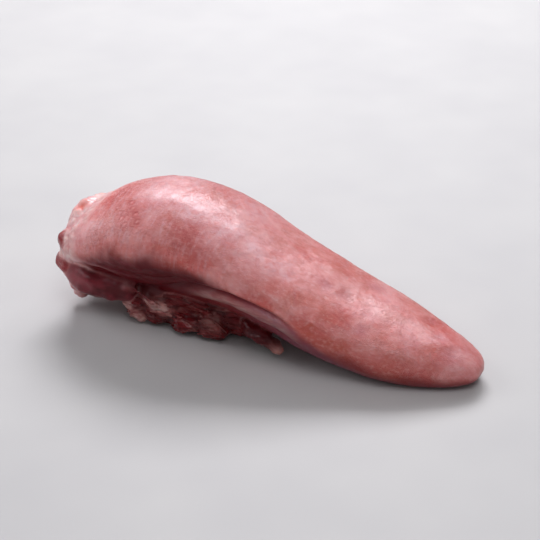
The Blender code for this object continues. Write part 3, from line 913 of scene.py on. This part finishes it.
def cloudy(tree, size, detail=2.0, place=UNMOVED, warp=0.0):
    """Cloudy noise in the object's space, with clouds of this size in mm, one for each axis."""
    coordinates = put(tree, "ShaderNodeTexCoord").outputs["Object"]
    scale = tuple(1.0 / (value * MM) for value in size)
    mapping = (("Vector", coordinates), ("Location", place), ("Scale", scale))
    where = put(tree, "ShaderNodeMapping", mapping).outputs["Vector"]
    values = (("Scale", 1.0), ("Detail", detail), ("Roughness", 0.6), ("Distortion", warp))
    return put(tree, "ShaderNodeTexNoise", (("Vector", where),) + values).outputs["Fac"]


def pattern(tree, name):
    """One of the cloudy patterns, as a share."""
    size, detail, place, warp, levels, shares = PATTERNS[name]
    return stretched(tree, cloudy(tree, size, detail, place, warp), *levels, *shares)


def mask(tree, name):
    """One of the masks that the surface carries."""
    return put(tree, "ShaderNodeAttribute", attribute_name=name).outputs["Fac"]


def portion(tree, amount, *names):
    """An amount multiplied by the patterns and the masks of these names."""
    for name in names:
        part = pattern(tree, name) if name in PATTERNS else mask(tree, name)
        amount = times(tree, amount, part)
    return amount


def layered(tree, colour, layers):
    """A colour with others laid over it: (the other, its amount, the patterns and masks it follows)."""
    for over, amount, *names in layers:
        colour = mixed(tree, portion(tree, amount, *names), colour, over)
    return colour


def skin_colour(tree, paleness):
    """The skin: rough and mottled over the back, dark and smooth on the hump's sides and beneath. Its
    colours carry painted shade on the flanks, the lowest edge, the smooth sides, the underside, the dents,
    creases and moats, and painted sheen along the crest.
    """
    blush = layered(tree, SKIN_FLUSH_AND_SHADE, ((SKIN_RUSSET, 1.0, "front"),))
    # Smooth skin: its own dark red deepened by painted shade, with a painted mauve sheen at the rear
    smooth_skin = layered(tree, SMOOTH_DARK_AND_SHADE, ((SMOOTH_MAUVE_SHEEN, 1.0, "mauve clouds", "mauve"),))
    # The underside: its own darker red and purple, deepened as painted shade where it faces the floor
    underside = ((SMOOTH_DARK_AND_SHADE, 1.0, "rear"), (UNDER_PURPLE_AND_SHADE, 1.0, "front", "purple clouds"))
    layers = (
        (SKIN_ROSE, 1.0, "broad clouds"),
        (SKIN_FLUSH_AND_SHADE, 1.0, "blotches"),
        (SKIN_RUSSET, 1.0, "russet clouds"),
        (SKIN_MAUVE, 1.0, "mauve spots"),
        # Painted sheen: paler skin where the highlights fall along the crest
        (SKIN_LIGHT, 0.70, "pale", "patchwork"),
        (blush, 0.95, "flush", "patchwork"),
        # Painted shade: darker mauve in the dents and creases
        (SKIN_MAUVE, 0.45, "dent_shade"),
        (SKIN_LIGHT, 1.0, "streaks", "streaky"),
        (SKIN_SPECK, 1.0, "specks"),
        (SKIN_SPECK, paleness),
        # Painted shade: darker red on the flanks, where the skin turns away from the light above
        (FLANK_SHADE_RED, 0.66, "flank"),
        # Painted shade: a deep red along the lowest edge, where the skin faces the floor
        (LOW_EDGE_SHADE_RED, 0.80, "low_edge"),
        # Painted shade: the moats' grooves are painted a darker red
        (SKIN_FLUSH_AND_SHADE, 0.50, "moat_shade"),
        # Painted shade on the smooth sides under the hump, with their painted mauve sheen
        (smooth_skin, 0.92, "smooth_side"),
        # Painted shade under the fold, on the underside's own darker red
        (layered(tree, UNDER_RED_AND_SHADE, underside), 0.90, "under"),
        (BAND_GREY, 1.0, "band", "band streaks"),
    )
    return layered(tree, SKIN_PALE, layers)


def meat_colour(tree):
    """The muscle: dark red fibres, redder on the cut face, with white and tan tissue between."""
    layers = (
        (MEAT_RED, 1.0, "fibres"),
        (MEAT_TAN, 1.0, "tan clouds"),
        (ROOT_RED, 0.80, "cut_end"),
        (TISSUE, 1.0, "septa", "white threads"),
        (TISSUE, 1.0, "pale bits"),
        # Painted shade: the muscle's front end under the body is darker
        (MEAT_DARK, 0.70, "meat_front_shade"),
        (TISSUE, 1.0, "scrap"),
    )
    return layered(tree, MEAT_DARK, layers)


def tissue_colours(tree):
    """The lobes at the root, the films and the fat, each with the mask of where it shows."""
    lobe = ((LOBE_LIGHT, 1.0, "lobe clouds"), (LOBE_MAUVE, 0.60, "root"))
    film = ((FILM_ROSE, 1.0, "film clouds"),)
    fat = (
        (FAT_PINK, 1.0, "fat clouds"),
        (FAT_ROSE, 1.0, "fat_seams", "seam clouds"),
        (FAT_ROSE, 0.60, "low"),
    )
    return (
        (layered(tree, LOBE_DARK, lobe), 1.0, "lobe"),
        (layered(tree, FILM_PALE, film), 1.0, "film"),
        (layered(tree, FAT_CREAM, fat), 1.0, "fat"),
    )


def raw_tongue(name, paleness, coat, coat_roughness, scattering):
    """The finish of raw tongue. Light scatters in the thick of it, and not in papillae or shreds."""
    material = bpy.data.materials.new(name)
    material.use_nodes = True
    tree = material.node_tree
    layers = ((meat_colour(tree), 1.0, "meat"),) + tissue_colours(tree)
    layers += ((RIM_PINK, 0.80, "rim"), (DIMPLE_ORANGE, 0.85, "dimple"))
    smoother = times(tree, mask(tree, "meat"), -WETNESS)
    grain = times(tree, cloudy(tree, SKIN_GRAIN), SKIN_GRAIN_HEIGHT * MM)
    strands = times(tree, portion(tree, cloudy(tree, STRAND_GRAIN), "meat"), STRAND_HEIGHT * MM)
    relief_height = times(tree, grain, strands, "ADD")
    bump = put(tree, "ShaderNodeBump", (("Strength", 1.0), ("Distance", 1.0), ("Height", relief_height)))
    sheltered = times(tree, mask(tree, "sheltered"), mask(tree, "flank"), "MAXIMUM")
    fed = {
        "Base Color": layered(tree, skin_colour(tree, paleness), layers),
        "Roughness": times(tree, pattern(tree, "roughness"), smoother, "ADD"),
        "Normal": bump.outputs["Normal"],
        "Specular IOR Level": stretched(tree, sheltered, 0.0, 1.0, *SHEEN),
        "Coat Weight": stretched(tree, sheltered, 0.0, 1.0, coat, SHELTERED_COAT * coat),
    }
    even = {
        "Subsurface Weight": scattering,
        "Subsurface Radius": SCATTER_SHARES,
        "Subsurface Scale": SCATTER_DEPTH * MM,
        "IOR": WET_IOR,
        "Specular Tint": SHEEN_TINT,
        "Coat Roughness": coat_roughness,
    }
    shader = tree.nodes["Principled BSDF"]
    for socket, value in fed.items():
        tree.links.new(value, shader.inputs[socket])
    for socket, value in even.items():
        shader.inputs[socket].default_value = value
    return material


tongue_finish = raw_tongue("raw tongue", paleness=0.0, coat=0.38, coat_roughness=0.29, scattering=0.45)
tongue = bpy.data.objects.new("tongue", surface)
bpy.context.scene.collection.objects.link(tongue)
surface.materials.clear()
surface.materials.append(tongue_finish)
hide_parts("lamb_tongue")
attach(tongue, "root")

# Papillae. The back of the tongue is covered in small blunt points of hardened skin, larger over
# the hump and finer towards the tip. They grow as part of the skin and lean to the rear.
PAPILLA_SPACING = 0.34
PAPILLA_WIDTH = 0.46
PAPILLA_STRETCH = 1.5
PAPILLA_SIZES = (0.7, 1.25)
PAPILLA_LEAN = (-0.25, 0.0, 0.0)
REAR = (-1.0, 0.0, 0.0)
# How deep its middle lies under the skin, as a multiple of the height that shows
PAPILLA_SINK = 2.0
# Points tried for each square as wide as the spacing, before those that stand too close are left out
CROWDING = 3.0
# Each piece of them: (name, from x, to x, height)
PAPILLAE = (("papillae_hump", -70.0, -20.0, 0.022), ("papillae_crest", -20.0, 2.0, 0.022),
            ("papillae_middle", 2.0, 26.0, 0.018), ("papillae_tip", 26.0, 70.0, 0.014))


def growing_tree(name, sizes):
    """An empty node tree that takes a surface and these sizes, a seed and a finish."""
    tree = bpy.data.node_groups.new(name, "GeometryNodeTree")
    sockets = [("Surface", "Geometry")] + [(size, "Float") for size in sizes]
    for socket, kind in sockets + [("Seed", "Int"), ("Finish", "Material")]:
        tree.interface.new_socket(socket, in_out="INPUT", socket_type="NodeSocket" + kind)
    tree.interface.new_socket("Grown", in_out="OUTPUT", socket_type="NodeSocketGeometry")
    return tree, tree.nodes.new("NodeGroupInput").outputs


def vector(tree, along_x, along_y, along_z):
    """Three values as one vector."""
    values = (("X", along_x), ("Y", along_y), ("Z", along_z))
    return put(tree, "ShaderNodeCombineXYZ", values).outputs[0]


def place_in(tree):
    """The X, Y and Z of each point that a tree works on."""
    position = put(tree, "GeometryNodeInputPosition").outputs[0]
    return put(tree, "ShaderNodeSeparateXYZ", ((0, position),)).outputs


def surface_mask(tree, name):
    """One of the surface's masks, in a tree that grows something on it."""
    named = put(tree, "GeometryNodeInputNamedAttribute", (("Name", name),), data_type="FLOAT")
    return named.outputs["Attribute"]


def scattered(tree, given, covered):
    """Points spread evenly over the covered part of the surface, none closer than the spacing."""
    values = (
        ("Mesh", given["Surface"]),
        ("Distance Min", given["Spacing"]),
        ("Density Max", times(tree, CROWDING, times(tree, given["Spacing"], 2.0, "POWER"), "DIVIDE")),
        ("Density Factor", covered),
        ("Seed", given["Seed"]),
    )
    return put(tree, "GeometryNodeDistributePointsOnFaces", values, distribute_method="POISSON").outputs


def placed(tree, points_socket, one, rotation, scale):
    """A copy of one on each point, all made real."""
    values = (("Points", points_socket), ("Instance", one), ("Rotation", rotation), ("Scale", scale))
    instances = put(tree, "GeometryNodeInstanceOnPoints", values).outputs["Instances"]
    return put(tree, "GeometryNodeRealizeInstances", (("Geometry", instances),)).outputs["Geometry"]


def finished(tree, given, geometry):
    """Closes the tree: smooth shading, then the finish."""
    smooth = put(tree, "GeometryNodeSetShadeSmooth", (("Geometry", geometry),)).outputs["Geometry"]
    finish = put(tree, "GeometryNodeSetMaterial", (("Geometry", smooth), ("Material", given["Finish"])))
    out = tree.nodes.new("NodeGroupOutput")
    tree.links.new(finish.outputs["Geometry"], out.inputs["Grown"])
    return tree


def papilla_tree():
    """Papillae spread over a surface wherever its mask of that name says, as one mesh."""
    tree, given = growing_tree("papillae", ("Spacing", "Width", "Height", "From X", "To X"))
    past = times(tree, place_in(tree)["X"], given["From X"], "GREATER_THAN")
    short = times(tree, place_in(tree)["X"], given["To X"], "LESS_THAN")
    spread = scattered(tree, given, times(tree, times(tree, surface_mask(tree, "papillae"), past), short))
    dome = put(tree, "GeometryNodeMeshIcoSphere", (("Radius", 1.0), ("Subdivisions", 1)))
    half_width = times(tree, given["Width"], 0.5)
    half_length = times(tree, half_width, PAPILLA_STRETCH)
    half_height = times(tree, given["Height"], PAPILLA_SINK + 1.0)
    shape = (
        ("Geometry", dome.outputs["Mesh"]),
        ("Translation", vector(tree, 0.0, 0.0, times(tree, given["Height"], -PAPILLA_SINK))),
        ("Scale", vector(tree, half_length, half_width, half_height)),
    )
    papilla = put(tree, "GeometryNodeTransform", shape).outputs["Geometry"]
    leaning = put(tree, "ShaderNodeVectorMath", ((0, spread["Normal"]), (1, PAPILLA_LEAN)), operation="ADD")
    raised = put(tree, "FunctionNodeAlignRotationToVector", (("Vector", leaning.outputs[0]),), axis="Z")
    turned = put(
        tree,
        "FunctionNodeAlignRotationToVector",
        (("Rotation", raised.outputs["Rotation"]), ("Vector", REAR)),
        axis="X",
        pivot_axis="Z",
    )
    least, most = PAPILLA_SIZES
    sizes = ((2, least), (3, most), ("Seed", given["Seed"]))
    varied = put(tree, "FunctionNodeRandomValue", sizes, data_type="FLOAT").outputs[1]
    size = times(tree, varied, surface_mask(tree, "papilla_size"))
    return finished(tree, given, placed(tree, spread["Points"], papilla, turned.outputs["Rotation"], size))


def grown(name, tree, inputs):
    """The mesh that a node tree makes from the tongue's surface, as a piece of its own."""
    holder = bpy.data.objects.new(name, surface.copy())
    nodes = holder.modifiers.new(name, "NODES")
    nodes.node_group = tree
    sockets = {s.name: s.identifier for s in tree.interface.items_tree if s.in_out == "INPUT"}
    for socket, value in inputs.items():
        nodes[sockets[socket]] = value
    mesh = applied(holder)
    mesh.name = name
    piece = bpy.data.objects.new(name, mesh)
    bpy.context.scene.collection.objects.link(piece)
    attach(piece, "root")
    return piece


papillae = papilla_tree()
papilla_finish = raw_tongue("papilla skin", paleness=0.02, coat=0.12, coat_roughness=0.34, scattering=0.0)
for name, start, end, height in PAPILLAE:
    papilla_inputs = {
        "Spacing": PAPILLA_SPACING * MM,
        "Width": PAPILLA_WIDTH * MM,
        "Height": height * MM,
        "From X": start * MM,
        "To X": end * MM,
        "Seed": SEED,
        "Finish": papilla_finish,
    }
    grown(name, papillae, papilla_inputs)

# Shreds of muscle. The knife tore the bundles under the tongue, so short fibres lie along them and
# some ends stand off a little.
SHRED_SPACING = 1.40
SHRED_LENGTH = 3.6
SHRED_WIDTH = 0.70
SHRED_SIDES = 6
SHRED_RINGS = 6
# How thick a shred is, as a share of its width, and how deep it lies, as a share of its thickness
SHRED_FLATNESS = 0.50
SHRED_SINK = 0.30
# How far it is turned and tilted at most, in radians, and its smallest and largest thickness, width
# and length, as shares of the usual
SHRED_TURN = 0.35
SHRED_TILT = 0.02
SHRED_SMALLEST = (0.5, 0.6, 0.6)
SHRED_LARGEST = (1.5, 1.5, 1.2)
# How far it is bent at most, and over what length
SHRED_BEND = 0.30
SHRED_WAVE = 4.0


def shred_tree():
    """Short bent fibres spread over a surface wherever its mask of that name says, as one mesh."""
    tree, given = growing_tree("shreds", ("Spacing", "Length", "Width", "Bend"))
    spread = scattered(tree, given, surface_mask(tree, "shreds"))
    sides = (("Segments", SHRED_SIDES), ("Rings", SHRED_RINGS), ("Radius", 0.5))
    ball = put(tree, "GeometryNodeMeshUVSphere", sides).outputs["Mesh"]
    thick = times(tree, given["Width"], SHRED_FLATNESS)
    shape = (
        ("Geometry", ball),
        ("Translation", vector(tree, 0.0, 0.0, times(tree, thick, -SHRED_SINK))),
        ("Rotation", (0.0, math.radians(90.0), 0.0)),
        ("Scale", vector(tree, thick, given["Width"], given["Length"])),
    )
    shred = put(tree, "GeometryNodeTransform", shape).outputs["Geometry"]
    upright = put(tree, "FunctionNodeAlignRotationToVector", (("Vector", spread["Normal"]),), axis="Z")
    least, most = (0.0, -SHRED_TILT, -SHRED_TURN), (0.0, SHRED_TILT, SHRED_TURN)
    turns = ((0, least), (1, most), ("Seed", given["Seed"]))
    swing = put(tree, "FunctionNodeRandomValue", turns, data_type="FLOAT_VECTOR")
    turn = put(tree, "FunctionNodeEulerToRotation", (("Euler", swing.outputs[0]),))
    turned = put(
        tree,
        "FunctionNodeRotateRotation",
        (("Rotation", upright.outputs["Rotation"]), ("Rotate By", turn.outputs["Rotation"])),
        rotation_space="LOCAL",
    )
    sizes = ((0, SHRED_SMALLEST), (1, SHRED_LARGEST), ("Seed", given["Seed"]))
    varied = put(tree, "FunctionNodeRandomValue", sizes, data_type="FLOAT_VECTOR").outputs[0]
    real = placed(tree, spread["Points"], shred, turned.outputs["Rotation"], varied)
    wave = put(tree, "ShaderNodeTexNoise", (("Scale", 1.0 / (SHRED_WAVE * MM)), ("Detail", 1.0)))
    about_zero = ((0, wave.outputs["Color"]), (1, (0.5, 0.5, 0.5)))
    centred = put(tree, "ShaderNodeVectorMath", about_zero, operation="SUBTRACT").outputs[0]
    bend = put(tree, "ShaderNodeVectorMath", ((0, centred), ("Scale", given["Bend"])), operation="SCALE")
    bent = put(tree, "GeometryNodeSetPosition", (("Geometry", real), ("Offset", bend.outputs[0])))
    where = place_in(tree)
    above = vector(tree, where["X"], where["Y"], times(tree, where["Z"], 0.0, "MAXIMUM"))
    lifted = (("Geometry", bent.outputs["Geometry"]), ("Position", above))
    resting = put(tree, "GeometryNodeSetPosition", lifted)
    return finished(tree, given, resting.outputs["Geometry"])


shred_inputs = {
    "Spacing": SHRED_SPACING * MM,
    "Length": SHRED_LENGTH * MM,
    "Width": SHRED_WIDTH * MM,
    "Bend": SHRED_BEND * MM,
    "Seed": SEED,
    "Finish": raw_tongue("shred", paleness=0.0, coat=0.18, coat_roughness=0.24, scattering=0.0),
}
grown("muscle_shreds", shred_tree(), shred_inputs)

# The floor: a plain pale surface, dull and very slightly clouded, on which the tongue's shadow
# falls softly.
FLOOR_HALF = 3.0
FLOOR_CLOUDS = (40.0, 40.0, 40.0)
FLOOR_LEVELS = (0.3, 0.7)
FLOOR_DARK = tone(185, 183, 182)
FLOOR_LIGHT = tone(191, 189, 187)
FLOOR_ROUGHNESS = 0.65
floor_mesh = bpy.data.meshes.new("floor")
floor = bmesh.new()
bmesh.ops.create_grid(floor, x_segments=1, y_segments=1, size=FLOOR_HALF)
floor.to_mesh(floor_mesh)
floor.free()
floor_object = bpy.data.objects.new("floor", floor_mesh)
bpy.context.scene.collection.objects.link(floor_object)
paint = bpy.data.materials.new("pale floor")
paint.use_nodes = True
paint_tree = paint.node_tree
mottle = stretched(paint_tree, cloudy(paint_tree, FLOOR_CLOUDS), *FLOOR_LEVELS)
paint_shader = paint_tree.nodes["Principled BSDF"]
paint_tree.links.new(mixed(paint_tree, mottle, FLOOR_DARK, FLOOR_LIGHT), paint_shader.inputs["Base Color"])
paint_shader.inputs["Roughness"].default_value = FLOOR_ROUGHNESS
floor_mesh.materials.append(paint)

# The light: a long soft lamp above and behind the tongue's rear, a smaller one behind its front, a
# lamp overhead, weak ones to its left and in front, and dim pale surroundings.
middle = (cad_low + cad_high) * 0.5
# (name, place from the middle of the tongue, width, depth, power)
LAMPS = (
    ("key", (-0.22, 0.54, 0.53), 0.42, 0.28, 6.2),
    ("second", (0.10, 0.52, 0.55), 0.20, 0.26, 0.8),
    ("top", (0.26, -0.26, 0.72), 0.40, 0.40, 1.9),
    ("side", (-0.62, -0.10, 0.34), 0.50, 0.50, 1.7),
    ("front", (0.30, -0.75, 0.60), 0.60, 0.60, 0.4),
)
LAMP_COLOUR = (0.95, 0.95, 1.0)
SURROUNDINGS = tone(238, 240, 244)
SURROUNDINGS_STRENGTH = 0.20
for name, place, width, depth, power in LAMPS:
    lamp = bpy.data.lights.new(name, "AREA")
    lamp.shape = "RECTANGLE"
    lamp.size = width
    lamp.size_y = depth
    lamp.energy = power
    lamp.color = LAMP_COLOUR
    lamp_object = bpy.data.objects.new(name, lamp)
    lamp_object.location = middle + Vector(place)
    lamp_object.rotation_euler = (-Vector(place)).to_track_quat("-Z", "Y").to_euler()
    bpy.context.scene.collection.objects.link(lamp_object)
world = bpy.data.worlds.new("surroundings")
world.use_nodes = True
background = world.node_tree.nodes["Background"]
background.inputs["Color"].default_value = SURROUNDINGS
background.inputs["Strength"].default_value = SURROUNDINGS_STRENGTH
bpy.context.scene.world = world
bpy.context.scene.view_settings.view_transform = "Standard"

# The camera: where the photograph was taken from, aimed at the middle of the tongue, with a long
# lens that shows it large.
CAMERA_PLACE = Vector((136.8, -282.2, 200.0)) * MM
CAMERA_ROLL = math.radians(-0.9)
LENS = 90.0
NEAREST_SHOWN = 0.01
camera = bpy.data.cameras.new("camera")
camera.lens = LENS
camera.clip_start = NEAREST_SHOWN
camera_object = bpy.data.objects.new("camera", camera)
camera_object.location = CAMERA_PLACE
aim = (middle - CAMERA_PLACE).to_track_quat("-Z", "Y")
camera_object.rotation_euler = (aim.to_matrix() @ Matrix.Rotation(CAMERA_ROLL, 3, "Z")).to_euler()
bpy.context.scene.collection.objects.link(camera_object)
bpy.context.scene.camera = camera_object
